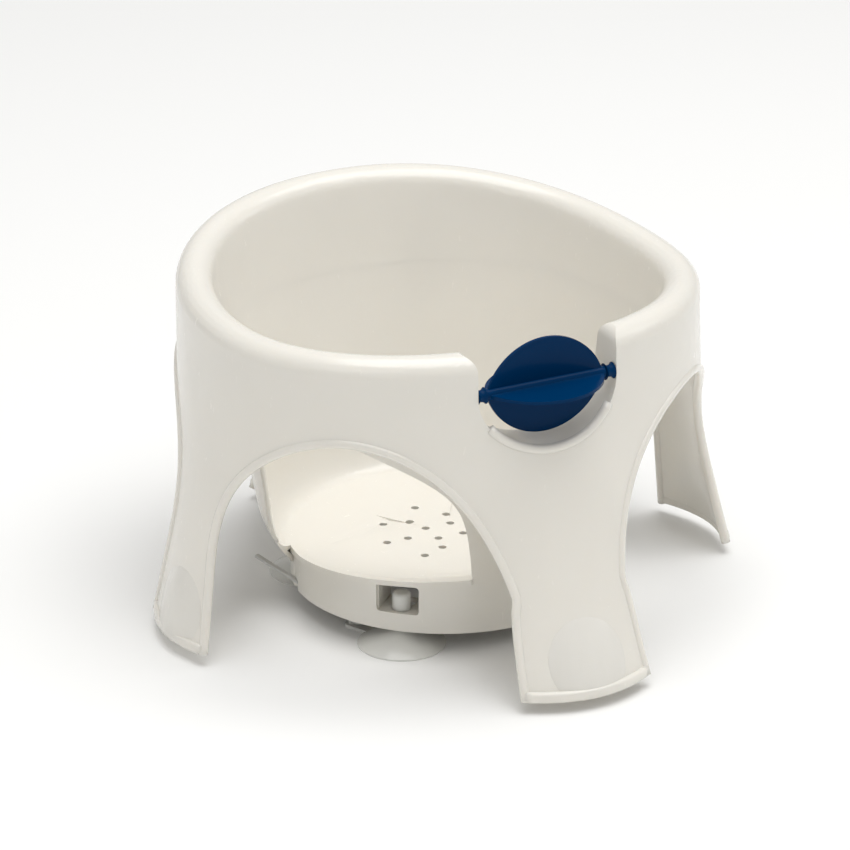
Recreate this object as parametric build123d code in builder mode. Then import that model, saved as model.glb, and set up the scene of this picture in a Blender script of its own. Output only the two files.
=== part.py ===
from build123d import *
from math import asin, atan2, cos, hypot, radians, sin, tan
import os

os.makedirs("parts", exist_ok=True)

# Baby bath ring, in millimetres. +Z is up, the floor is z = 0, the front with the spinner faces -Y.
# Plan angles are measured from +X, so -90 is the front, 0 the right side and 90 the back.

# Rim: a full-round tube edge on an egg-shaped line that rises towards the back
rim_half_width = 133.0
rim_front = 112.0
rim_back = 142.0
rim_front_power = 2.1
rim_back_power = 2.25
rim_side_z = 176.5
rim_front_z = 179.5
rim_back_z = 193.5
rim_radius = 10.5

# Outer wall and feet
wall = 2.6
foot_z = 6.5
foot_half_width = 172.5
foot_half_depth = 177.0
foot_lobe = 32.0
foot_lobe_swing = 8.0
flare_start = 0.42

# Seat: inner wall, back, pan and the skirt below it
seat_wall = 2.5
seat_y = 2.0
seam_z = 150.0
pan_z = 35.0
pan_flat_radius = 52.0
pan_middle_radius = 48.0
pan_corner_run = 10.5
pan_rise_run = 14.0
front_lift = 8.7
bend_z = 58.0
bend_radius_back = 102.4
bend_radius_front = 85.7
collar_turn_z = 43.8
collar_z = 24.0
skirt_radius = 86.5
skirt_bottom_z = 11.0
pan_edge_z = 36.4
pan_edge_slope = 0.087
pan_lip = 2.0
pan_lip_height = 3.0

# Arches between the legs, seen square to each one
arch_turn = 42.5
arch_top_z = 140.5
rear_arch_top_z = 140.5

# Leg openings in the seat
leg_opening_turn = 32.0
leg_opening_top_z = 127.0

# Drain holes in rings about the middle of the pan: radius, number and first plan angle
drain_hole_radius = 2.3
drain_rings = ((11.0, 4, 45.0), (23.0, 6, 0.0), (36.0, 8, 0.0))

# Notch with its channel at the front of the rim
notch_half_width = 42.0
notch_centre_z = 165.0
notch_depth = 31.5
notch_corner = 8.0
channel_wall = 2.6
seam_gap = 0.2

# Spinner across the notch
axle_y = -114.5
axle_z = 166.5
axle_radius = 1.8
axle_gap = 0.08
axle_seat = 1.8
axle_end_gap = 0.2
fin_reach = 27.0
fin_half_length = 35.5
fin_thickness = 1.8
fin_core_radius = 3.4
fin_gap = 0.3
hub_gap = 0.05
cap_gap = 0.4
cap_length = 5.2
cap_radius = 4.8
cap_waist_radius = 3.3

# Suction cups on shelves inside the skirt
cup_places = (("front_left", -135), ("front_right", -45), ("rear_left", 135), ("rear_right", 45))
cup_ring_radius = 78.0
cup_radius = 24.5
cup_lip = 0.9
cup_lip_width = 1.5
cup_hollow = 3.8
cup_dome_z = 9.0
cup_neck_radius = 4.2
cup_flange_radius = 5.5
cup_flange_height = 2.5
cup_knob_radius = 5.25
cup_knob_height = 9.7
cup_knob_round = 2.0
cup_gap = 0.3
shelf_z = 18.5
shelf_thickness = 2.5
shelf_half_width = 13.5
shelf_inner_reach = 16.0
shelf_entry_distance = 9.5
shelf_entry_gap = 0.4
rib_thickness = 2.0
rib_sink = 0.8
window_width = 24.5
window_bottom_z = 21.5
window_top_z = 38.0
window_corner = 2.0

# Release strap of each front cup, a straight strip that rises out of the skirt towards the back
strap_inner = (66.5, -28.5, 4.6)
strap_outer = (96.0, 46.0, 22.0)
strap_width = 2.6
strap_thickness = 2.0
strap_eye_width = 8.0
strap_eye_wall = 2.2
strap_travel = 5.0
strap_gap = 0.6
peg_radius = 1.6
peg_gap = 0.3
peg_head_radius = 2.6
peg_head_height = 1.2
tab_width = 7.0
tab_thickness = 1.8

# Stations of the lofts: two spare ones past each end keep the surface smooth across the middle plane
station_step = 15
stations = range(-120, 121, station_step)


def radial_plane(angle, centre_y=0.0):
    """The upright plane through the axis at a plan angle, with local X outwards and local Y up."""
    a = radians(angle)
    return Plane(origin=(0, centre_y, 0), x_dir=(cos(a), sin(a), 0), z_dir=(sin(a), -cos(a), 0))


def egg_radius(angle, half_width, front, back, front_power, back_power):
    """Distance from the axis to an egg-shaped outline with its own power in front and behind."""
    a = radians(angle)
    depth, power = (front, front_power) if sin(a) < 0 else (back, back_power)
    return (abs(cos(a) / half_width) ** power + abs(sin(a) / depth) ** power) ** (-1 / power)


def rim_point(angle):
    """Radius and height of the middle of the rim's round edge."""
    s = sin(radians(angle))
    end_z = rim_front_z if s < 0 else rim_back_z
    radius = egg_radius(angle, rim_half_width, rim_front, rim_back, rim_front_power, rim_back_power)
    return radius, rim_side_z + (end_z - rim_side_z) * s * s


def foot_radius(angle):
    """Distance from the axis to the foot outline, which bulges at each of the four legs."""
    a = radians(angle)
    oval = 1 / hypot(cos(a) / foot_half_width, sin(a) / foot_half_depth)
    return oval - (foot_lobe - foot_lobe_swing * sin(a)) * (1 - cos(4 * a)) / 2


def ease(share):
    """Runs smoothly from 0 to 1 as share does."""
    s = min(max(share, 0.0), 1.0)
    return s * s * (3 - 2 * s)


def bend_radius(angle):
    """Distance from the axis to the seat's inner face at bend_z, where it starts to curve into the pan."""
    share = ease((angle_from_front(angle) - 15) / 80)
    radius = bend_radius_front + (bend_radius_back - bend_radius_front) * share
    return radius + seat_shift(angle)


def seat_shift(angle):
    """What the seat's own centre adds to a distance from the axis."""
    return seat_y * sin(radians(angle))


def angle_from_front(angle):
    """Plan angle measured from the front, 0 to 180, the same on both sides."""
    a = (angle + 90) % 360
    return min(a, 360 - a)


def inner_lean(angle):
    """Lean of the seat wall from upright: the line from its bend that just touches the rim's round edge."""
    rim_r, rim_z = rim_point(angle)
    out, up = rim_r - bend_radius(angle), rim_z - bend_z
    return atan2(out, up) - asin(rim_radius / hypot(out, up))


def pan_lift(angle):
    """How far the pan's edge stands above the middle of the pan."""
    return front_lift * ((1 - sin(radians(angle))) / 2) ** 2.4


# Ring shell: one radial section of the wall from foot to rim and down the short inner lip
def ring_section(angle):
    rim_r, rim_z = rim_point(angle)
    foot_r = foot_radius(angle)
    knee_z = rim_z - flare_start * (rim_z - foot_z)
    outer_r = rim_r + rim_radius
    flare = hypot(foot_r - outer_r, knee_z - foot_z) / (knee_z - foot_z)
    lean = inner_lean(angle)
    leave = radians(180) - lean
    over = leave / 2
    lip_r = bend_radius(angle) + (seam_z - bend_z) * tan(lean)
    core = rim_radius - wall
    lip_in = (lip_r, seam_z)
    lip_out = (lip_r + wall / cos(lean), seam_z)
    with BuildSketch(radial_plane(angle)) as section:
        with BuildLine():
            Bezier((foot_r, foot_z), (outer_r, knee_z), (outer_r, rim_z))
            ThreePointArc(
                (outer_r, rim_z),
                (rim_r + rim_radius * cos(over), rim_z + rim_radius * sin(over)),
                (rim_r + rim_radius * cos(leave), rim_z + rim_radius * sin(leave)),
            )
            Line((rim_r + rim_radius * cos(leave), rim_z + rim_radius * sin(leave)), lip_in)
            Line(lip_in, lip_out)
            Line(lip_out, (rim_r + core * cos(leave), rim_z + core * sin(leave)))
            ThreePointArc(
                (rim_r + core * cos(leave), rim_z + core * sin(leave)),
                (rim_r + core * cos(over), rim_z + core * sin(over)),
                (outer_r - wall, rim_z),
            )
            Bezier((outer_r - wall, rim_z), (outer_r - wall, knee_z), (foot_r - wall * flare, foot_z))
            Line((foot_r - wall * flare, foot_z), (foot_r, foot_z))
        make_face()
    return section.sketch


ring_sections = [ring_section(station) for station in stations]
channel_stations = range(-135, -44, station_step)


def channel_section(angle):
    """The space between the outer and inner faces at the front, a little inside both."""
    inset = 0.8
    rim_r, rim_z = rim_point(angle)
    foot_r = foot_radius(angle)
    knee_z = rim_z - flare_start * (rim_z - foot_z)
    outer_r = rim_r + rim_radius - inset
    lean = inner_lean(angle)
    leave = radians(180) - lean
    bend_r = bend_radius(angle) + inset
    reach = rim_radius - inset
    top = (rim_r, rim_z + reach)
    leave_point = (rim_r + reach * cos(leave), rim_z + reach * sin(leave))
    with BuildSketch(radial_plane(angle)) as section:
        with BuildLine():
            Bezier((foot_r - inset, foot_z), (outer_r, knee_z), (outer_r, rim_z))
            ThreePointArc((outer_r, rim_z), top, leave_point)
            Line(leave_point, (bend_r, bend_z))
            Line((bend_r, bend_z), (foot_r - inset, foot_z))
        make_face()
    return section.sketch


def notch_outline(margin, top_z):
    """The U of the notch, seen from the front, grown by a margin, with its mouth rounded outwards."""
    half = notch_half_width + margin
    mouth = half + notch_corner
    rim_top = rim_front_z + rim_radius
    with BuildSketch(Plane.XZ.offset(60)) as outline:
        with BuildLine():
            for side in (-1, 1):
                Line((side * mouth, top_z), (side * mouth, rim_top))
                RadiusArc(
                    (side * mouth, rim_top), (side * half, rim_top - notch_corner), side * -notch_corner
                )
                Line((side * half, rim_top - notch_corner), (side * half, notch_centre_z))
            EllipticalCenterArc((0, notch_centre_z), half, notch_depth + margin, 180, arc_size=180)
            Line((-mouth, top_z), (mouth, top_z))
        make_face()
    return outline.sketch


def arch_outline(turn, near, shoulder_a, top, shoulder_b, low_b, far):
    """An arch seen along its own direction: up one leg, over the top and down the other leg."""
    a = radians(turn)
    with BuildSketch(Plane((0, 0, 0), x_dir=(-sin(a), cos(a), 0), z_dir=(cos(a), sin(a), 0))) as outline:
        with BuildLine():
            Line((near, -5), (near, 55))
            Spline((near, 55), shoulder_a, top, shoulder_b, low_b, (far, -5), tangents=((0, 1), (0.3, -1)))
            Line((far, -5), (near, -5))
        make_face()
    return outline.sketch


front_arch = arch_outline(
    -180 + arch_turn, -90.5, (-77.0, 103.0), (-13.0, arch_top_z), (57.0, 104.5), (85.0, 58.0), 100.0
)
rear_arch = arch_outline(
    180 - arch_turn, 81.5, (70.0, 103.0), (8.0, rear_arch_top_z), (-55.0, 104.5), (-80.0, 58.0), -92.0
)
channel_sections = [channel_section(station) for station in channel_stations]
channel_outer = notch_outline(channel_wall, rim_front_z + 40)
channel_inner = notch_outline(-1.0, rim_front_z + 45)
notch_cut = notch_outline(0.0, rim_front_z + 50)

with BuildPart() as channel:
    loft(channel_sections)
    extrude(channel_outer, amount=110, mode=Mode.INTERSECT)
    extrude(channel_inner, amount=110, mode=Mode.SUBTRACT)

with BuildPart() as front_arch_space:
    extrude(front_arch, amount=240)

with BuildPart() as rear_arch_space:
    extrude(rear_arch, amount=240)

with BuildPart() as ring_shell:
    loft(ring_sections)
    split(bisect_by=Plane.YZ, keep=Keep.TOP)
    mirror(about=Plane.YZ)
    for arch in (front_arch_space.part, rear_arch_space.part):
        add(arch, mode=Mode.SUBTRACT)
        add(arch.mirror(Plane.YZ), mode=Mode.SUBTRACT)
    add(channel.part)
    extrude(notch_cut, amount=110, mode=Mode.SUBTRACT)
    with Locations(Plane((0, axle_y, axle_z), z_dir=(1, 0, 0))):
        bore_length = 2 * (notch_half_width + axle_seat + axle_end_gap)
        Cylinder(axle_radius + axle_gap, bore_length, mode=Mode.SUBTRACT)

ring_shell.part.label = "ring_shell"
export_step(ring_shell.part, "parts/ring_shell.step")


# Seat: backrest, front post, pan and skirt in one moulding
def curve_at(start, middle, end, along, value):
    """Point of a quadratic curve, falling along one coordinate, where that coordinate has a value."""
    bend = start[along] - 2 * middle[along] + end[along]
    slope = 2 * (middle[along] - start[along])
    rest = start[along] - value
    share = 2 * rest / ((slope**2 - 4 * bend * rest) ** 0.5 - slope)
    weights = ((1 - share) ** 2, 2 * share * (1 - share), share**2)
    return tuple(sum(w * p[i] for w, p in zip(weights, (start, middle, end))) for i in (0, 1))


def seat_corner(angle):
    """Where the lines of the seat wall and of the pan's edge would meet."""
    corner_z = pan_z + pan_lift(angle)
    return bend_radius(angle) - (bend_z - corner_z) * tan(inner_lean(angle)), corner_z


def underside_curve(angle):
    """The pan's underside in a radial section, from the wall in to where it is flat."""
    shift = seat_shift(angle)
    lean = inner_lean(angle)
    across = seat_wall / cos(lean)
    bend_out = (bend_radius(angle) + across, bend_z)
    turn_out = (bend_out[0] - (bend_z - collar_turn_z) * tan(lean), collar_turn_z)
    collar_out = (skirt_radius - 0.1 + shift, collar_z)
    under_z = seat_corner(angle)[1] - seat_wall
    under_out = (curve_at(bend_out, turn_out, collar_out, 1, under_z)[0] - seat_wall, under_z)
    flat_r = pan_flat_radius + shift
    return under_out, (flat_r + pan_rise_run, pan_z - seat_wall), (flat_r, pan_z - seat_wall)


def seat_section(angle):
    """One radial section from the flat of the pan out to the wall and up to the seam under the rim."""
    shift = seat_shift(angle)
    lean = inner_lean(angle)
    across = seat_wall / cos(lean)
    bend_r = bend_radius(angle)
    flat_r = pan_flat_radius + shift
    middle_r = pan_middle_radius - 2 + shift
    flat = (flat_r, pan_z)
    corner = seat_corner(angle)
    rise_r = flat_r + pan_rise_run
    run = pan_corner_run / hypot(corner[0] - rise_r, corner[1] - pan_z)
    dish = (corner[0] + (rise_r - corner[0]) * run, corner[1] + (pan_z - corner[1]) * run)
    bend_in = (bend_r, bend_z)
    seam_r = bend_r + (seam_z - bend_z) * tan(lean)
    bend_out = (bend_r + across, bend_z)
    turn_out = (bend_out[0] - (bend_z - collar_turn_z) * tan(lean), collar_turn_z)
    collar_out = (skirt_radius - 0.1 + shift, collar_z)
    collar_in = (skirt_radius - seat_wall + 0.2 + shift, collar_z + 1.5)
    under_out, under_turn, under_flat = underside_curve(angle)
    with BuildSketch(radial_plane(angle)) as section:
        with BuildLine():
            Line((middle_r, pan_z), flat)
            Bezier(flat, (rise_r, pan_z), dish)
            Bezier(dish, corner, bend_in)
            Line(bend_in, (seam_r, seam_z))
            Line((seam_r, seam_z), (seam_r + across, seam_z))
            Line((seam_r + across, seam_z), bend_out)
            Bezier(bend_out, turn_out, collar_out)
            Line(collar_out, collar_in)
            Line(collar_in, under_out)
            Bezier(under_out, under_turn, under_flat)
            Line(under_flat, (middle_r, pan_z - seat_wall))
            Line((middle_r, pan_z - seat_wall), (middle_r, pan_z))
        make_face()
    return section.sketch


def pan_edge_plane(drop):
    """The tilted plane along the pan's edge, lowered by a drop."""
    return Plane((0, 0, pan_edge_z - drop), z_dir=(0, pan_edge_slope, 1))


def skirt_band(outer, inner, bottom_z):
    """An upright ring about the seat's axis from a level plane up to the tilted plane of the pan's edge."""
    with BuildPart() as band:
        with BuildSketch(Plane.XY.offset(bottom_z)):
            with Locations((0, seat_y)):
                Circle(outer)
                Circle(inner, mode=Mode.SUBTRACT)
        extrude(amount=60)
        split(bisect_by=pan_edge_plane(0), keep=Keep.BOTTOM)
    return band.part


def leg_opening_outline(bottom_z):
    """The leg opening seen along its own direction, with a rounded corner where the back meets the pan."""
    a = radians(-180 + leg_opening_turn)
    with BuildSketch(Plane((0, 0, 0), x_dir=(-sin(a), cos(a), 0), z_dir=(cos(a), sin(a), 0))) as outline:
        with BuildLine():
            Line((62, bottom_z - 15), (54.7, 45))
            Spline(
                (54.7, 45), (50.0, 93.0), (5.0, leg_opening_top_z), (-65.0, 85.0), tangents=((0, 1), (0, -1))
            )
            Line((-65.0, 85.0), (-65.0, bottom_z + 11))
            RadiusArc((-65.0, bottom_z + 11), (-54.0, bottom_z), -11)
            Line((-54.0, bottom_z), (62, bottom_z - 15))
        make_face()
    return outline.sketch


seat_sections = [seat_section(station) for station in stations]
leg_opening = leg_opening_outline(36.0)
leg_clear = leg_opening_outline(12.0)
seat_notch = notch_outline(channel_wall + seam_gap, rim_front_z + 50)

with BuildPart() as above_pan:
    extrude(leg_opening, amount=170)
    split(bisect_by=pan_edge_plane(0), keep=Keep.TOP)

with BuildPart() as beside_pan:
    extrude(leg_clear, amount=170)
    with BuildSketch(Plane.XY):
        with Locations((0, seat_y)):
            Circle(skirt_radius + pan_lip)
    extrude(amount=200, mode=Mode.SUBTRACT)

with BuildPart() as under_lip:
    extrude(leg_clear, amount=170)
    split(bisect_by=pan_edge_plane(pan_lip_height), keep=Keep.BOTTOM)
    with BuildSketch(Plane.XY):
        with Locations((0, seat_y)):
            Circle(skirt_radius)
    extrude(amount=200, mode=Mode.SUBTRACT)

with BuildPart() as edge_lip:
    add(skirt_band(skirt_radius + pan_lip, skirt_radius - 1, 20))
    split(bisect_by=pan_edge_plane(pan_lip_height), keep=Keep.TOP)
    extrude(leg_clear, amount=170, mode=Mode.INTERSECT)



def cup_centre(angle):
    """The middle of a suction cup on the floor."""
    a = radians(angle)
    return Vector(cup_ring_radius * cos(a), seat_y + cup_ring_radius * sin(a), 0)


def cup_upright(angle):
    """The upright plane through a cup's middle, with local X away from the seat's axis and local Y up."""
    return Plane(origin=cup_centre(angle), x_dir=radial_plane(angle).x_dir, z_dir=radial_plane(angle).z_dir)


def cup_level(angle, z):
    """A level plane over a cup's middle, with local X away from the seat's axis."""
    return Plane(origin=cup_centre(angle) + Vector(0, 0, z), x_dir=radial_plane(angle).x_dir, z_dir=(0, 0, 1))


shelf_outer_reach = skirt_radius - seat_wall / 2 - cup_ring_radius
shelf_hole_radius = cup_neck_radius + cup_gap
shelf_entry_radius = cup_knob_radius + shelf_entry_gap


def cup_shelf(angle):
    """The shelf that a cup hangs in, with its keyhole and a rib at each side up to the pan's underside."""
    length = shelf_inner_reach + shelf_outer_reach
    middle = (shelf_outer_reach - shelf_inner_reach) / 2
    with BuildPart() as shelf:
        with BuildSketch(cup_level(angle, shelf_z)):
            with Locations((middle, 0)):
                Rectangle(length, 2 * shelf_half_width)
            Circle(shelf_hole_radius, mode=Mode.SUBTRACT)
            with Locations((-shelf_entry_distance, 0)):
                Circle(shelf_entry_radius, mode=Mode.SUBTRACT)
            with Locations((-shelf_entry_distance / 2, 0)):
                Rectangle(shelf_entry_distance, 2 * cup_neck_radius, mode=Mode.SUBTRACT)
        extrude(amount=shelf_thickness)
        for side in (-1, 1):
            across = side * (shelf_half_width - rib_thickness / 2)
            rib_plane = cup_upright(angle).offset(across - rib_thickness / 2)
            with BuildSketch(rib_plane):
                with BuildLine():
                    ends = []
                    for reach in (-shelf_inner_reach, shelf_outer_reach - seat_wall):
                        radius = hypot(cup_ring_radius + reach, across) + seat_shift(angle)
                        radius = min(radius, underside_curve(angle)[0][0] - 0.5)
                        ends.append(curve_at(*underside_curve(angle), 0, radius)[1] + rib_sink)
                    Polyline(
                        (-shelf_inner_reach, shelf_z),
                        (-shelf_inner_reach, ends[0]),
                        (shelf_outer_reach, ends[1]),
                        (shelf_outer_reach, shelf_z),
                        close=True,
                    )
                make_face()
            extrude(amount=rib_thickness)
        with BuildSketch(Plane.XY):
            with Locations((0, seat_y)):
                Circle(skirt_radius - seat_wall / 2)
        extrude(amount=3 * pan_z, mode=Mode.INTERSECT)
    return shelf.part


def window_space(angle):
    """The window in the skirt in front of a cup's knob."""
    with BuildPart() as window:
        reach = skirt_radius - seat_wall - 1 - cup_ring_radius
        plane = Plane(
            origin=cup_centre(angle) + radial_plane(angle).x_dir * reach + Vector(0, 0, window_bottom_z),
            x_dir=radial_plane(angle).z_dir * -1,
            z_dir=radial_plane(angle).x_dir,
        )
        with BuildSketch(plane):
            with Locations((0, (window_top_z - window_bottom_z) / 2)):
                RectangleRounded(window_width, window_top_z - window_bottom_z, window_corner)
        extrude(amount=3 * seat_wall)
    return window.part


strap_start = Vector(*strap_inner)
strap_way = (Vector(*strap_outer) - strap_start).normalized()
strap_length = (Vector(*strap_outer) - strap_start).length
strap_normal = (Vector(0, 0, 1) - strap_way * strap_way.Z).normalized()
eye_slot_width = 2 * (peg_radius + peg_gap)
eye_slot_length = strap_travel + eye_slot_width
peg_run = strap_eye_wall + strap_travel + peg_radius + peg_gap
peg_point = strap_start + strap_way * peg_run


def strap_plane(run):
    """The plane of the right strap, with local X along it and its origin a run from the inner end."""
    return Plane(origin=strap_start + strap_way * run, x_dir=strap_way, z_dir=strap_normal)


slot_width = strap_width + 2 * strap_gap
slot_drop = 4 * strap_thickness
slot_rise = strap_thickness / 2 + strap_gap
slot_length = strap_length * 0.3
slot_middle = strap_length * 0.6

with BuildPart() as strap_slot:
    with BuildSketch(strap_plane(slot_middle).offset(-slot_drop)):
        Rectangle(slot_length, slot_width)
    extrude(amount=slot_drop + slot_rise)

with BuildPart() as seat_bucket:
    loft(seat_sections)
    with BuildSketch(Plane.XY):
        with Locations((0, seat_y)):
            Circle(pan_middle_radius)
    extrude(amount=2 * pan_z, mode=Mode.SUBTRACT)
    with BuildSketch(Plane.XY.offset(pan_z - seat_wall)):
        with Locations((0, seat_y)):
            Circle(pan_middle_radius)
    extrude(amount=seat_wall)
    with BuildSketch(Plane.XY.offset(skirt_bottom_z)):
        with Locations((0, seat_y)):
            Circle(skirt_radius)
            Circle(skirt_radius - seat_wall, mode=Mode.SUBTRACT)
    extrude(amount=pan_z - 1 - skirt_bottom_z)
    add(skirt_band(skirt_radius, skirt_radius - seat_wall, pan_z - 2))
    split(bisect_by=Plane.YZ, keep=Keep.TOP)
    for cutter in (above_pan.part, beside_pan.part, under_lip.part):
        add(cutter.mirror(Plane.YZ), mode=Mode.SUBTRACT)
    add(edge_lip.part.mirror(Plane.YZ))
    extrude(seat_notch, amount=110, mode=Mode.SUBTRACT)
    for place, angle in cup_places:
        if place.endswith("right"):
            add(cup_shelf(angle))
        if place == "front_right":
            add(window_space(angle), mode=Mode.SUBTRACT)
    add(strap_slot.part, mode=Mode.SUBTRACT)
    mirror(about=Plane.YZ)
    for ring_radius, count, first in drain_rings:
        with Locations((0, seat_y)):
            with PolarLocations(ring_radius, count, first):
                Hole(drain_hole_radius)

seat_bucket.part.label = "seat_bucket"
export_step(seat_bucket.part, "parts/seat_bucket.step")


# Suction cups: a soft dome with a neck through its shelf and a knob above it
flange_top_z = shelf_z - cup_gap
knob_base_z = shelf_z + shelf_thickness + cup_gap
knob_top_z = knob_base_z + cup_knob_height
peg_head_z = peg_point.Z + strap_thickness / 2 + peg_head_radius * strap_way.Z + peg_gap

for place, angle in cup_places:
    with BuildPart() as suction_cup:
        with BuildSketch(cup_upright(angle)):
            with BuildLine():
                Bezier((0, cup_hollow), (cup_radius * 0.45, cup_hollow), (cup_radius - cup_lip_width, 0))
                Line((cup_radius - cup_lip_width, 0), (cup_radius, 0))
                Line((cup_radius, 0), (cup_radius, cup_lip))
                Bezier(
                    (cup_radius, cup_lip),
                    (cup_radius * 0.6, cup_dome_z * 0.7),
                    (cup_neck_radius * 1.5, cup_dome_z * 0.85),
                    (cup_neck_radius, cup_dome_z * 1.25),
                )
                Polyline(
                    (cup_neck_radius, cup_dome_z * 1.25),
                    (cup_neck_radius, flange_top_z - cup_flange_height),
                    (cup_flange_radius, flange_top_z - cup_flange_height),
                    (cup_flange_radius, flange_top_z),
                    (cup_neck_radius, flange_top_z),
                    (cup_neck_radius, knob_base_z),
                    (cup_knob_radius, knob_base_z),
                    (cup_knob_radius, knob_top_z - cup_knob_round),
                )
                RadiusArc(
                    (cup_knob_radius, knob_top_z - cup_knob_round),
                    (cup_knob_radius - cup_knob_round, knob_top_z),
                    -cup_knob_round,
                )
                Line((cup_knob_radius - cup_knob_round, knob_top_z), (0, knob_top_z))
                Line((0, knob_top_z), (0, cup_hollow))
            make_face()
        revolve(axis=Axis(cup_centre(angle), (0, 0, 1)))
        if place.startswith("front"):
            side = -1 if place.endswith("left") else 1
            peg = Vector(side * peg_point.X, peg_point.Y, 0)
            out = peg - cup_centre(angle)
            tab_run = out.length - cup_radius + cup_lip_width
            with BuildSketch(Plane(origin=peg, x_dir=out, z_dir=(0, 0, 1))):
                with Locations((-tab_run / 2, 0)):
                    Rectangle(tab_run, tab_width)
                Circle(tab_width / 2)
            extrude(amount=tab_thickness)
            with BuildSketch(Plane(origin=peg, z_dir=(0, 0, 1))):
                Circle(peg_radius)
            extrude(amount=peg_head_z)
            with BuildSketch(Plane(origin=peg + Vector(0, 0, peg_head_z), z_dir=(0, 0, 1))):
                Circle(peg_head_radius)
            extrude(amount=peg_head_height)
    suction_cup.part.label = f"suction_cup_{place}"
    export_step(suction_cup.part, f"parts/suction_cup_{place}.step")


# Release straps: an eye with an elongated slot round the cup's peg, then a plain strip to the free end
with BuildPart() as release_strap_right:
    eye_length = eye_slot_length + 2 * strap_eye_wall
    with BuildSketch(strap_plane(0)):
        with Locations((eye_length / 2, 0)):
            SlotOverall(eye_length, strap_eye_width)
        with Locations(((strap_length + eye_length / 2) / 2, 0)):
            Rectangle(strap_length - eye_length / 2, strap_width)
        with Locations((strap_eye_wall + eye_slot_length / 2, 0)):
            SlotOverall(eye_slot_length, eye_slot_width, mode=Mode.SUBTRACT)
    extrude(amount=strap_thickness / 2, both=True)

release_strap_right.part.label = "release_strap_right"
export_step(release_strap_right.part, "parts/release_strap_right.step")

with BuildPart() as release_strap_left:
    add(release_strap_right.part.mirror(Plane.YZ))

release_strap_left.part.label = "release_strap_left"
export_step(release_strap_left.part, "parts/release_strap_left.step")


# Spinner: two crossed lens-shaped fins on a core tube, turning with the axle and its end caps
axle_plane = Plane(origin=(0, axle_y, axle_z), x_dir=(0, 1, 0), z_dir=(1, 0, 0))
core_half_length = notch_half_width - cap_gap - cap_length - fin_gap

with BuildPart() as spinner_vanes:
    for fin_plane in (
        Plane(origin=(0, axle_y, axle_z), x_dir=(1, 0, 0), z_dir=(0, -1, 0)),
        Plane(origin=(0, axle_y, axle_z), x_dir=(1, 0, 0), z_dir=(0, 0, 1)),
    ):
        with BuildSketch(fin_plane):
            with BuildLine():
                ThreePointArc((-fin_half_length, 0), (0, fin_reach), (fin_half_length, 0))
                ThreePointArc((fin_half_length, 0), (0, -fin_reach), (-fin_half_length, 0))
            make_face()
        extrude(amount=fin_thickness / 2, both=True)
    with BuildSketch(axle_plane):
        Circle(fin_core_radius)
    extrude(amount=core_half_length, both=True)
    with BuildSketch(axle_plane):
        Circle(axle_radius + hub_gap)
    extrude(amount=notch_half_width, both=True, mode=Mode.SUBTRACT)

spinner_vanes.part.label = "spinner_vanes"
export_step(spinner_vanes.part, "parts/spinner_vanes.step")

with BuildPart() as spinner_axle:
    with BuildSketch(axle_plane):
        Circle(axle_radius)
    extrude(amount=notch_half_width + axle_seat, both=True)

spinner_axle.part.label = "spinner_axle"
export_step(spinner_axle.part, "parts/spinner_axle.step")

for side, name in ((-1, "spinner_cap_left"), (1, "spinner_cap_right")):
    with BuildPart() as spinner_cap:
        near = side * (notch_half_width - cap_gap)
        far = near - side * cap_length
        with BuildSketch(Plane(origin=(0, axle_y, axle_z), x_dir=(1, 0, 0), z_dir=(0, -1, 0))):
            with BuildLine():
                Line((near, axle_radius + hub_gap), (near, cap_radius))
                ThreePointArc((near, cap_radius), ((near + far) / 2, cap_waist_radius), (far, cap_radius))
                Line((far, cap_radius), (far, axle_radius + hub_gap))
                Line((far, axle_radius + hub_gap), (near, axle_radius + hub_gap))
            make_face()
        revolve(axis=Axis((0, axle_y, axle_z), (1, 0, 0)))
    spinner_cap.part.label = name
    export_step(spinner_cap.part, f"parts/{name}.step")
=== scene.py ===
from math import cos, pi, radians, sin

import bmesh
import bpy
from bpy.props import FloatProperty, FloatVectorProperty, PointerProperty
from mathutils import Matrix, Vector
from mathutils.bvhtree import BVHTree


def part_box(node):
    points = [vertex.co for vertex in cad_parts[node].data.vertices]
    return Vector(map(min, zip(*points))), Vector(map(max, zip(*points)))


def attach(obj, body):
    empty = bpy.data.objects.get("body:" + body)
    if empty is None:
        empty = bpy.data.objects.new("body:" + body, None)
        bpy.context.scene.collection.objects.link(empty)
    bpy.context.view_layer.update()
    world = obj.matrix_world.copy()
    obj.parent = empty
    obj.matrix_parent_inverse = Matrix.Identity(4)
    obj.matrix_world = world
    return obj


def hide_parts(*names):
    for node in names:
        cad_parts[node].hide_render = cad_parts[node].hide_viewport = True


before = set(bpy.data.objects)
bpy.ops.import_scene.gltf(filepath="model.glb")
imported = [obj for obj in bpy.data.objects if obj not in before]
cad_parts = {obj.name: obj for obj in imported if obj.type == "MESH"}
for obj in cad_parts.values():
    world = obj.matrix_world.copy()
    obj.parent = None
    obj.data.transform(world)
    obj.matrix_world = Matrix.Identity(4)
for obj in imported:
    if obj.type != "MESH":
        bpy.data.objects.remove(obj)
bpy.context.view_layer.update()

bl_info = {
    "name": "Baby Bath Ring",
    "version": (1, 0, 0),
    "blender": (4, 5, 0),
    "location": "View3D > Sidebar > Bath Ring",
    "description": "Dresses a moulded baby bath ring with beads, bosses and finishes",
    "category": "Object",
}

FEET = (("front", -90), ("right", 0), ("rear", 90), ("left", 180))
CUPS = ("front_left", "front_right", "rear_left", "rear_right")

# An edge that turns more than this is a real one
SHARP_ANGLE = radians(38)

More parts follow.
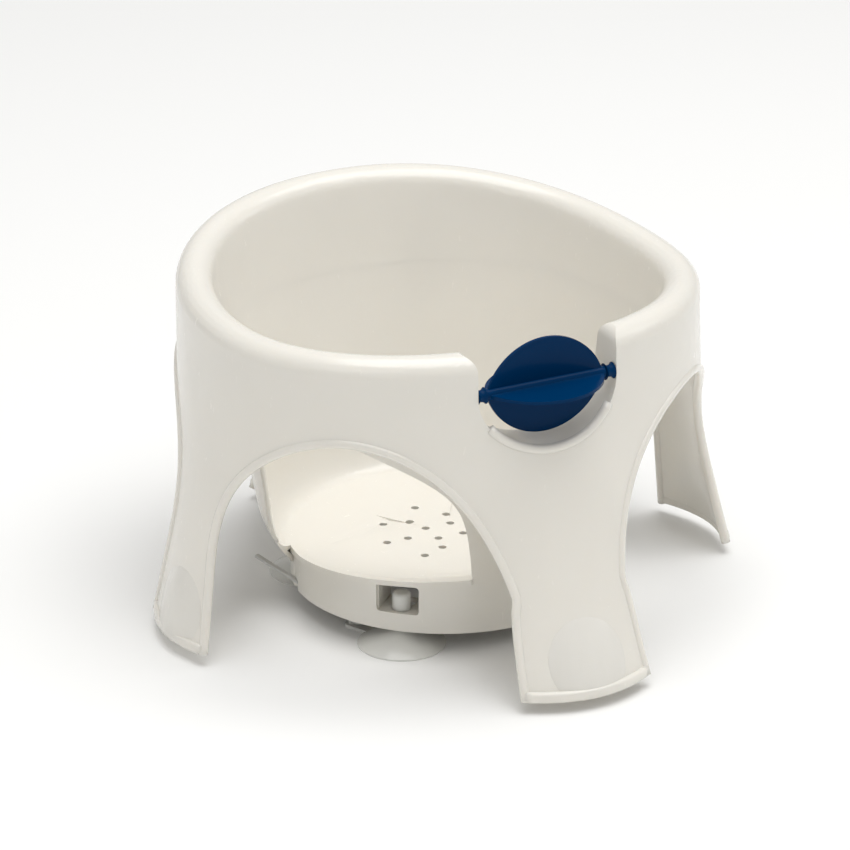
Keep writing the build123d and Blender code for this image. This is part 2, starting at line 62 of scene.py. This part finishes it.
# Lengths in metres
POINT_STEP = 0.004
ARCH_TOP = 0.150
LIP_BAND = 0.0008
SHORTEST_ARCH = 0.05
SHORTEST_LIP = 0.02
OPENING_LOW = 0.044
OPENING_HIGH = 0.118
OPENING_SIDE = 0.05
SHORTEST_OPENING = 0.05
OUTSIDE = 0.4
FLOOR_HALF_WIDTH = 12
LIGHT_AIM_HEIGHT = 0.1

# Shares of a bead's radius or a lip's depth that are sunk into the wall
ARCH_BEAD_SUNK = 0.45
OPENING_BEAD_SUNK = 0.5
LIP_SUNK = 0.3


class BathRingMouldings(bpy.types.PropertyGroup):
    """Sizes of the raised details on the white mouldings."""

    arch_bead: FloatProperty(
        name="Arch bead", description="Radius of the bead along the arches", default=0.0027, unit="LENGTH"
    )
    foot_lip_height: FloatProperty(
        name="Foot lip height", description="Height of the lip round each foot", default=0.0058, unit="LENGTH"
    )
    foot_lip_depth: FloatProperty(
        name="Foot lip depth",
        description="Thickness of the lip round each foot",
        default=0.0046,
        unit="LENGTH",
    )
    opening_bead: FloatProperty(
        name="Opening bead",
        description="Radius of the bead round a leg opening",
        default=0.0014,
        unit="LENGTH",
    )
    boss_radius: FloatProperty(
        name="Boss radius", description="Radius of the shallow dome over a foot", default=0.023, unit="LENGTH"
    )
    boss_height: FloatProperty(
        name="Boss height", description="How far a dome stands out", default=0.0032, unit="LENGTH"
    )
    boss_centre: FloatProperty(
        name="Boss centre",
        description="Height of a dome's middle over the floor",
        default=0.023,
        unit="LENGTH",
    )


class BathRingFinish(bpy.types.PropertyGroup):
    """Colours and gloss of each material."""

    white: FloatVectorProperty(
        name="White plastic",
        description="Colour of the mouldings",
        subtype="COLOR",
        default=(0.81, 0.78, 0.715),
    )
    white_roughness: FloatProperty(
        name="White roughness", description="Roughness of the mouldings", default=0.24, subtype="FACTOR"
    )
    cup: FloatVectorProperty(
        name="Cup vinyl",
        description="Colour of the suction cups",
        subtype="COLOR",
        default=(0.86, 0.86, 0.82),
    )
    strap: FloatVectorProperty(
        name="Strap", description="Colour of the release straps", subtype="COLOR", default=(0.55, 0.55, 0.53)
    )
    vane: FloatVectorProperty(
        name="Vane blue", description="Colour of the toy's fins", subtype="COLOR", default=(0.0, 0.028, 0.097)
    )
    # Rod blue is lighter than the vane blue: a painted highlight for the light falling on the rod's top, laid
    # over the same dark blue plastic
    rod: FloatVectorProperty(
        name="Rod blue", description="Colour of the toy's rod", subtype="COLOR", default=(0.0, 0.075, 0.21)
    )


class BathRingStage(bpy.types.PropertyGroup):
    """Camera and light."""

    azimuth: FloatProperty(
        name="Azimuth",
        description="Turn of the camera about the ring",
        default=radians(-27.5),
        subtype="ANGLE",
    )
    elevation: FloatProperty(
        name="Elevation", description="Height angle of the camera", default=radians(22.6), subtype="ANGLE"
    )
    distance: FloatProperty(
        name="Distance", description="Camera distance from its target", default=3.24, unit="LENGTH"
    )
    target_height: FloatProperty(
        name="Target height", description="Height the camera looks at", default=0.1065, unit="LENGTH"
    )
    lens: FloatProperty(name="Lens", description="Focal length in millimetres", default=246.75)
    shift_x: FloatProperty(name="Shift across", description="Sideways shift of the picture", default=-0.0247)
    shift_y: FloatProperty(name="Shift up", description="Upward shift of the picture", default=-0.0129)
    top_power: FloatProperty(name="Top light", description="Power of the light overhead in watts", default=48.0)
    side_power: FloatProperty(name="Side light", description="Power of the side lights in watts", default=1.5)
    sky: FloatProperty(name="Sky", description="Strength of the even light all round", default=0.48)


def moulded_group():
    """A node group for moulded plastic: slow waves, fine grain and faint scuffs in object coordinates."""
    group = bpy.data.node_groups.new("moulded_surface", "ShaderNodeTree")
    face = group.interface
    for name, value in (("Wave Scale", 9.0), ("Grain Scale", 900.0), ("Scuff Amount", 0.3)):
        socket = face.new_socket(name=name, in_out="INPUT", socket_type="NodeSocketFloat")
        socket.default_value = value
    for name in ("Tone", "Wear", "Height"):
        face.new_socket(name=name, in_out="OUTPUT", socket_type="NodeSocketFloat")
    nodes, links = group.nodes, group.links
    given = nodes.new("NodeGroupInput")
    out = nodes.new("NodeGroupOutput")
    place = nodes.new("ShaderNodeTexCoord")
    wave = nodes.new("ShaderNodeTexNoise")
    wave.inputs["Detail"].default_value = 2.0
    grain = nodes.new("ShaderNodeTexNoise")
    grain.inputs["Detail"].default_value = 1.0
    scuff = nodes.new("ShaderNodeTexNoise")
    scuff.inputs["Detail"].default_value = 6.0
    scuff.inputs["Roughness"].default_value = 0.75
    stretch = nodes.new("ShaderNodeMapping")
    stretch.inputs["Scale"].default_value = (60.0, 60.0, 14.0)
    limit = nodes.new("ShaderNodeMapRange")
    limit.inputs["From Min"].default_value = 0.56
    limit.inputs["From Max"].default_value = 0.78
    share = nodes.new("ShaderNodeMath")
    share.operation = "MULTIPLY"
    fine = nodes.new("ShaderNodeMath")
    fine.operation = "MULTIPLY"
    fine.inputs[1].default_value = 0.04
    both = nodes.new("ShaderNodeMath")
    both.operation = "ADD"
    links.new(place.outputs["Object"], wave.inputs["Vector"])
    links.new(place.outputs["Object"], grain.inputs["Vector"])
    links.new(place.outputs["Object"], stretch.inputs["Vector"])
    links.new(stretch.outputs["Vector"], scuff.inputs["Vector"])
    links.new(given.outputs["Wave Scale"], wave.inputs["Scale"])
    links.new(given.outputs["Grain Scale"], grain.inputs["Scale"])
    links.new(scuff.outputs["Fac"], limit.inputs["Value"])
    links.new(limit.outputs["Result"], share.inputs[0])
    links.new(given.outputs["Scuff Amount"], share.inputs[1])
    links.new(grain.outputs["Fac"], fine.inputs[0])
    links.new(wave.outputs["Fac"], both.inputs[0])
    links.new(fine.outputs["Value"], both.inputs[1])
    links.new(wave.outputs["Fac"], out.inputs["Tone"])
    links.new(share.outputs["Value"], out.inputs["Wear"])
    links.new(both.outputs["Value"], out.inputs["Height"])
    return group


def plastic(name, colour, roughness, waves=9.0, scuffs=0.3, bump=0.0012, coat=0.0, tone=0.03):
    """A moulded plastic whose tone, gloss and surface vary a little from place to place."""
    material = bpy.data.materials.new(name)
    material.use_nodes = True
    nodes, links = material.node_tree.nodes, material.node_tree.links
    shader = nodes["Principled BSDF"]
    shader.inputs["IOR"].default_value = 1.49
    shader.inputs["Coat Weight"].default_value = coat
    shader.inputs["Coat Roughness"].default_value = 0.08
    surface = nodes.new("ShaderNodeGroup")
    surface.node_tree = bpy.data.node_groups.get("moulded_surface") or moulded_group()
    surface.inputs["Wave Scale"].default_value = waves
    surface.inputs["Scuff Amount"].default_value = scuffs
    scuffed = roughness + 0.25
    shade = nodes.new("ShaderNodeMix")
    shade.data_type = "RGBA"
    shade.inputs["A"].default_value = (*(c * (1 - tone) for c in colour), 1)
    shade.inputs["B"].default_value = (*(min(1.0, c * (1 + tone)) for c in colour), 1)
    gloss = nodes.new("ShaderNodeMapRange")
    gloss.inputs["To Min"].default_value = roughness
    gloss.inputs["To Max"].default_value = scuffed
    relief = nodes.new("ShaderNodeBump")
    relief.inputs["Strength"].default_value = 0.35
    relief.inputs["Distance"].default_value = bump
    links.new(surface.outputs["Tone"], shade.inputs["Factor"])
    links.new(shade.outputs["Result"], shader.inputs["Base Color"])
    links.new(surface.outputs["Wear"], gloss.inputs["Value"])
    links.new(gloss.outputs["Result"], shader.inputs["Roughness"])
    links.new(surface.outputs["Height"], relief.inputs["Height"])
    links.new(relief.outputs["Normal"], shader.inputs["Normal"])
    return material


def material_for(slot):
    """The material of one of the record's slots, made once."""
    name = f"{slot}_finish"
    made = bpy.data.materials.get(name)
    if made:
        return made
    finish = bpy.context.scene.bath_ring_finish
    if slot == "white_plastic":
        made = plastic(name, finish.white, finish.white_roughness, waves=14.0, coat=0.25)
        shader = made.node_tree.nodes["Principled BSDF"]
        shader.inputs["Subsurface Weight"].default_value = 0.12
        shader.inputs["Subsurface Radius"].default_value = (0.006, 0.005, 0.004)
        shader.inputs["Subsurface Scale"].default_value = 1.0
    elif slot == "clear_cup":
        made = plastic(name, finish.cup, roughness=0.22, waves=40.0, bump=0.0004)
        made.node_tree.nodes["Principled BSDF"].inputs["Transmission Weight"].default_value = 0.2
    elif slot == "strap_plastic":
        made = plastic(name, finish.strap, 0.35, waves=60.0, bump=0.0003)
    elif slot == "blue_rod":
        # The rod takes the lighter rod blue: a painted highlight over the toy's dark blue plastic
        made = plastic(name, finish.rod, 0.18, waves=60.0, scuffs=0.15, bump=0.0002, coat=0.6)
    else:
        made = plastic(name, finish.vane, 0.16, waves=30.0, scuffs=0.12, bump=0.0005)
        made.node_tree.nodes["Principled BSDF"].inputs["Specular IOR Level"].default_value = 0.06
    return made


def finish_piece(bm, name, slot, body, *nodes):
    """Turns a bmesh into a piece that rides on a body and may stand for CAD nodes."""
    mesh = bpy.data.meshes.new(name)
    bm.to_mesh(mesh)
    bm.free()
    mesh.materials.clear()
    mesh.materials.append(material_for(slot))
    piece = bpy.data.objects.new(name, mesh)
    bpy.context.scene.collection.objects.link(piece)
    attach(piece, body)
    if nodes:
        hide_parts(*nodes)
    return piece


def merged_copy(node, merge=2e-5):
    """A CAD node's shape as a joined mesh, smooth except along its real edges."""
    bm = bmesh.new()
    bm.from_mesh(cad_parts[node].data)
    bmesh.ops.remove_doubles(bm, verts=bm.verts, dist=merge)
    bmesh.ops.dissolve_degenerate(bm, dist=1e-6, edges=bm.edges)
    for face in bm.faces:
        face.smooth = True
        face.material_index = 0
    for edge in bm.edges:
        edge.smooth = len(edge.link_faces) == 2 and edge.calc_face_angle() < SHARP_ANGLE
    return bm


def weight_normals(piece):
    """Lets large faces set the shading, so that smooth walls show no facets."""
    modifier = piece.modifiers.new("weighted_normals", "WEIGHTED_NORMAL")
    modifier.keep_sharp = True
    modifier.weight = 60


def outer_edges(bm, low, high, outward=0.4):
    """The sharp edges of the outer skin between two heights."""
    found = []
    for edge in bm.edges:
        if edge.smooth or len(edge.link_faces) != 2:
            continue
        middle = (edge.verts[0].co + edge.verts[1].co) / 2
        if not low <= middle.z <= high:
            continue
        out = Vector((middle.x, middle.y, 0)).normalized()
        leans = sorted(face.normal.dot(out) for face in edge.link_faces)
        if leans[1] > outward and leans[0] < outward:
            found.append(edge)
    return found


def edge_runs(edges):
    """Ordered runs of points along connected edges."""
    links = {}
    for edge in edges:
        for vert in edge.verts:
            links.setdefault(vert.index, []).append(edge)
    left = set(edges)
    runs = []
    starts = [e for e in edges if any(len(links[v.index]) == 1 for v in e.verts)] + list(edges)
    for start in starts:
        if start not in left:
            continue
        tail = next((v for v in start.verts if len(links[v.index]) == 1), start.verts[0])
        run = [tail]
        edge = start
        while edge:
            left.discard(edge)
            tail = edge.other_vert(tail)
            run.append(tail)
            edge = next((e for e in links[tail.index] if e in left), None)
        runs.append([v.co.copy() for v in run])
    return runs


def run_length(run):
    """The length of a run of points."""
    return sum((b - a).length for a, b in zip(run, run[1:]))


def even_points(run, step):
    """Points at an even step along a run."""
    total = run_length(run)
    count = max(2, round(total / step))
    points = [run[0].copy()]
    walked, index = 0.0, 0
    for k in range(1, count):
        goal = total * k / count
        while walked + (run[index + 1] - run[index]).length < goal:
            walked += (run[index + 1] - run[index]).length
            index += 1
        piece = run[index + 1] - run[index]
        points.append(run[index] + piece * ((goal - walked) / piece.length))
    points.append(run[-1].copy())
    return points


def swept(runs, radius=None, profile=None, closed_gap=0.002):
    """Round or profiled strips along runs of points, as one bmesh."""
    curve = bpy.data.curves.new("strip", "CURVE")
    curve.dimensions = "3D"
    curve.twist_mode = "Z_UP"
    curve.use_fill_caps = True
    if profile:
        curve.bevel_mode = "OBJECT"
        curve.bevel_object = profile
    else:
        curve.bevel_depth = radius
        curve.bevel_resolution = 4
    for run in runs:
        loop = (run[0] - run[-1]).length < closed_gap
        points = run[:-1] if loop else run
        spline = curve.splines.new("POLY")
        spline.points.add(len(points) - 1)
        for point, place in zip(spline.points, points):
            point.co = (*place, 1)
        spline.use_cyclic_u = loop
    holder = bpy.data.objects.new("strip", curve)
    bpy.context.scene.collection.objects.link(holder)
    bpy.context.view_layer.update()
    mesh = bpy.data.meshes.new_from_object(holder.evaluated_get(bpy.context.evaluated_depsgraph_get()))
    bm = bmesh.new()
    bm.from_mesh(mesh)
    bmesh.ops.remove_doubles(bm, verts=bm.verts, dist=1e-6)
    bmesh.ops.recalc_face_normals(bm, faces=bm.faces)
    for face in bm.faces:
        face.smooth = True
    bpy.data.objects.remove(holder)
    bpy.data.curves.remove(curve)
    bpy.data.meshes.remove(mesh)
    return bm


def lip_profile(width, height):
    """A rounded outline for the foot lips."""
    curve = bpy.data.curves.new("lip_profile", "CURVE")
    curve.dimensions = "2D"
    spline = curve.splines.new("POLY")
    steps = 20
    roundness = 0.6
    spline.points.add(steps - 1)
    for k, point in enumerate(spline.points):
        a = 2 * pi * k / steps
        x = abs(cos(a)) ** roundness * (1 if cos(a) > 0 else -1)
        y = abs(sin(a)) ** roundness * (1 if sin(a) > 0 else -1)
        point.co = (x * width / 2, y * height / 2, 0, 1)
    spline.use_cyclic_u = True
    holder = bpy.data.objects.new("lip_profile", curve)
    bpy.context.scene.collection.objects.link(holder)
    return holder


class OBJECT_OT_bath_ring_shell(bpy.types.Operator):
    """Dress the outer ring: smooth wall, arch beads, foot lips and domed bosses"""

    bl_idname = "object.bath_ring_shell"
    bl_label = "Bath Ring Shell"

    def execute(self, context):
        sizes = context.scene.bath_ring_mouldings
        bm = merged_copy("ring_shell")
        bm.normal_update()
        foot_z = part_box("ring_shell")[0].z
        lower = outer_edges(bm, 0.0, ARCH_TOP)
        lip_edges = [e for e in lower if max(v.co.z for v in e.verts) < foot_z + LIP_BAND]
        on_lip = set(lip_edges)
        arch_edges = [e for e in lower if e not in on_lip]
        arch_runs = [
            even_points(r, POINT_STEP) for r in edge_runs(arch_edges) if run_length(r) > SHORTEST_ARCH
        ]
        lip_runs = [even_points(r, POINT_STEP) for r in edge_runs(lip_edges) if run_length(r) > SHORTEST_LIP]
        for run in arch_runs:
            for point in run:
                out = Vector((point.x, point.y, 0)).normalized()
                point -= out * sizes.arch_bead * ARCH_BEAD_SUNK
        for run in lip_runs:
            for point in run:
                out = Vector((point.x, point.y, 0)).normalized()
                point += Vector((0, 0, sizes.foot_lip_height / 2)) - out * sizes.foot_lip_depth * LIP_SUNK
        tree = BVHTree.FromBMesh(bm)
        for name, angle in FEET:
            self.boss(name, radians(angle), tree, sizes, foot_z)
        weight_normals(finish_piece(bm, "ring_wall", "white_plastic", "ring", "ring_shell"))
        finish_piece(swept(arch_runs, radius=sizes.arch_bead), "arch_beads", "white_plastic", "ring")
        profile = lip_profile(sizes.foot_lip_depth, sizes.foot_lip_height)
        finish_piece(swept(lip_runs, profile=profile), "foot_lips", "white_plastic", "ring")
        bpy.data.objects.remove(profile)
        return {"FINISHED"}

    def boss(self, name, angle, tree, sizes, foot_z):
        """A shallow dome over a foot, laid on the wall."""
        out = Vector((cos(angle), sin(angle), 0))
        side = Vector((-sin(angle), cos(angle), 0))
        rim_share = 1.1
        rim_dip = 4
        foot_margin = 0.001
        skin = 0.0008
        cells = 56
        reach = sizes.boss_radius * rim_share
        middle = tree.ray_cast(out * OUTSIDE + Vector((0, 0, sizes.boss_centre)), -out)[0]
        bm = bmesh.new()
        bmesh.ops.create_grid(bm, x_segments=cells, y_segments=cells, size=reach)
        beyond = []
        for vert in bm.verts:
            across, up = vert.co.x, vert.co.y
            share = (across * across + up * up) ** 0.5 / sizes.boss_radius
            height = max(sizes.boss_centre + up, foot_z + foot_margin)
            start = out * OUTSIDE + side * across + Vector((0, 0, height))
            hit, normal, _, _ = tree.ray_cast(start, -out)
            if hit is None or share > rim_share or (hit - middle).length > 2 * sizes.boss_radius:
                beyond.append(vert)
                continue
            if share < 1:
                rise = sizes.boss_height * (1 - share * share)
            else:
                rise = -sizes.boss_height * rim_dip * (share - 1)
            vert.co = hit + normal * rise
        bmesh.ops.delete(bm, geom=beyond, context="VERTS")
        bmesh.ops.recalc_face_normals(bm, faces=bm.faces)
        if sum((f.normal.dot(out) for f in bm.faces), 0.0) < 0:
            bmesh.ops.reverse_faces(bm, faces=bm.faces)
        bmesh.ops.solidify(bm, geom=bm.faces[:], thickness=skin)
        for face in bm.faces:
            face.smooth = True
        finish_piece(bm, f"foot_boss_{name}", "white_plastic", "ring")


class OBJECT_OT_bath_ring_seat(bpy.types.Operator):
    """Dress the seat with its pan, backrest, post and skirt"""

    bl_idname = "object.bath_ring_seat"
    bl_label = "Bath Ring Seat"

    def execute(self, context):
        sizes = context.scene.bath_ring_mouldings
        bm = merged_copy("seat_bucket")
        bm.normal_update()
        edges = [e for e in outer_edges(bm, OPENING_LOW, OPENING_HIGH) if abs(e.verts[0].co.x) > OPENING_SIDE]
        runs = [even_points(r, POINT_STEP) for r in edge_runs(edges) if run_length(r) > SHORTEST_OPENING]
        for run in runs:
            for point in run:
                point -= Vector((point.x, point.y, 0)).normalized() * sizes.opening_bead * OPENING_BEAD_SUNK
        weight_normals(finish_piece(bm, "seat_moulding", "white_plastic", "ring", "seat_bucket"))
        finish_piece(swept(runs, radius=sizes.opening_bead), "opening_beads", "white_plastic", "ring")
        return {"FINISHED"}


class OBJECT_OT_bath_ring_cups(bpy.types.Operator):
    """Dress the four suction cups and the two release straps"""

    bl_idname = "object.bath_ring_cups"
    bl_label = "Bath Ring Cups"

    def execute(self, context):
        for place in CUPS:
            node = f"suction_cup_{place}"
            weight_normals(finish_piece(merged_copy(node), f"cup_{place}", "clear_cup", "ring", node))
        for side in ("left", "right"):
            node = f"release_strap_{side}"
            piece = finish_piece(merged_copy(node), f"strap_{side}", "strap_plastic", f"strap_{side}", node)
            round_edges(piece, 0.0004)
        return {"FINISHED"}


def round_edges(piece, width):
    """A small round along every real edge."""
    bevel = piece.modifiers.new("edge_round", "BEVEL")
    bevel.width = width
    bevel.segments = 3
    bevel.limit_method = "ANGLE"
    bevel.angle_limit = SHARP_ANGLE
    weight_normals(piece)


class OBJECT_OT_bath_ring_toy(bpy.types.Operator):
    """Dress the turning toy: crossed fins, rod and end hubs"""

    bl_idname = "object.bath_ring_toy"
    bl_label = "Bath Ring Toy"

    def execute(self, context):
        pairs = (
            ("spinner_vanes", "toy_fins", "blue_vane", 0.0005),
            ("spinner_axle", "toy_rod", "blue_rod", 0.0003),
            ("spinner_cap_left", "toy_hub_left", "blue_cap", 0.0004),
            ("spinner_cap_right", "toy_hub_right", "blue_cap", 0.0004),
        )
        for node, name, slot, width in pairs:
            round_edges(finish_piece(merged_copy(node), name, slot, "spinner", node), width)
        return {"FINISHED"}


class OBJECT_OT_bath_ring_stage(bpy.types.Operator):
    """Set the floor, the soft light and the camera"""

    bl_idname = "object.bath_ring_stage"
    bl_label = "Bath Ring Stage"

    def execute(self, context):
        stage = context.scene.bath_ring_stage
        context.scene.view_settings.view_transform = "Standard"
        self.floor()
        self.lights(stage)
        data = bpy.data.cameras.new("camera")
        data.lens = stage.lens
        data.sensor_width = 36
        data.shift_x = stage.shift_x
        data.shift_y = stage.shift_y
        data.clip_end = 50
        camera = bpy.data.objects.new("camera", data)
        context.scene.collection.objects.link(camera)
        target = Vector((0, 0, stage.target_height))
        level = cos(stage.elevation)
        way = Vector((sin(stage.azimuth) * level, -cos(stage.azimuth) * level, sin(stage.elevation)))
        camera.location = target + way * stage.distance
        camera.rotation_euler = (-way).to_track_quat("-Z", "Y").to_euler()
        context.scene.camera = camera
        return {"FINISHED"}

    def floor(self):
        """A pale matt floor."""
        bm = bmesh.new()
        bmesh.ops.create_grid(bm, x_segments=1, y_segments=1, size=FLOOR_HALF_WIDTH)
        mesh = bpy.data.meshes.new("floor")
        bm.to_mesh(mesh)
        bm.free()
        floor = bpy.data.objects.new("floor", mesh)
        bpy.context.scene.collection.objects.link(floor)
        paper = bpy.data.materials.new("floor_paper")
        paper.use_nodes = True
        shader = paper.node_tree.nodes["Principled BSDF"]
        shader.inputs["Base Color"].default_value = (0.93, 0.93, 0.92, 1)
        shader.inputs["Roughness"].default_value = 0.75
        mesh.materials.append(paper)

    def lights(self, stage):
        """An even sky, a wide soft light overhead and a faint one at each side."""
        world = bpy.context.scene.world or bpy.data.worlds.new("studio")
        bpy.context.scene.world = world
        world.use_nodes = True
        back = world.node_tree.nodes["Background"]
        back.inputs["Color"].default_value = (1.0, 0.995, 0.985, 1)
        back.inputs["Strength"].default_value = stage.sky
        for name, place, size, power in (
            ("top", (0.2, -0.2, 2.4), 2.2, stage.top_power),
            ("left", (-1.7, -1.2, 1.5), 0.7, stage.side_power),
            ("right", (2.0, -0.6, 1.2), 0.7, stage.side_power * 1.2),
        ):
            data = bpy.data.lights.new(name, "AREA")
            data.size = size
            data.energy = power
            light = bpy.data.objects.new(name, data)
            bpy.context.scene.collection.objects.link(light)
            light.location = place
            aim = Vector((0, 0, LIGHT_AIM_HEIGHT)) - Vector(place)
            light.rotation_euler = aim.to_track_quat("-Z", "Y").to_euler()


class VIEW3D_PT_bath_ring(bpy.types.Panel):
    """The bath ring's operators and sizes"""

    bl_idname = "VIEW3D_PT_bath_ring"
    bl_label = "Baby Bath Ring"
    bl_space_type = "VIEW_3D"
    bl_region_type = "UI"
    bl_category = "Bath Ring"

    def draw(self, context):
        column = self.layout.column()
        for operator in OPERATORS:
            column.operator(operator.bl_idname)
        for group in ("bath_ring_mouldings", "bath_ring_finish", "bath_ring_stage"):
            settings = getattr(context.scene, group)
            for name in settings.__annotations__:
                column.prop(settings, name)


GROUPS = (
    ("bath_ring_mouldings", BathRingMouldings),
    ("bath_ring_finish", BathRingFinish),
    ("bath_ring_stage", BathRingStage),
)
OPERATORS = (
    OBJECT_OT_bath_ring_shell,
    OBJECT_OT_bath_ring_seat,
    OBJECT_OT_bath_ring_cups,
    OBJECT_OT_bath_ring_toy,
    OBJECT_OT_bath_ring_stage,
)


def register():
    for name, group in GROUPS:
        bpy.utils.register_class(group)
        setattr(bpy.types.Scene, name, PointerProperty(type=group))
    for operator in OPERATORS:
        bpy.utils.register_class(operator)
    bpy.utils.register_class(VIEW3D_PT_bath_ring)


def unregister():
    bpy.utils.unregister_class(VIEW3D_PT_bath_ring)
    for operator in reversed(OPERATORS):
        bpy.utils.unregister_class(operator)
    for name, group in reversed(GROUPS):
        delattr(bpy.types.Scene, name)
        bpy.utils.unregister_class(group)


def main():
    register()
    bpy.ops.object.bath_ring_stage()
    bpy.ops.object.bath_ring_shell()
    bpy.ops.object.bath_ring_seat()
    bpy.ops.object.bath_ring_cups()
    bpy.ops.object.bath_ring_toy()


if __name__ == "__main__":
    main()
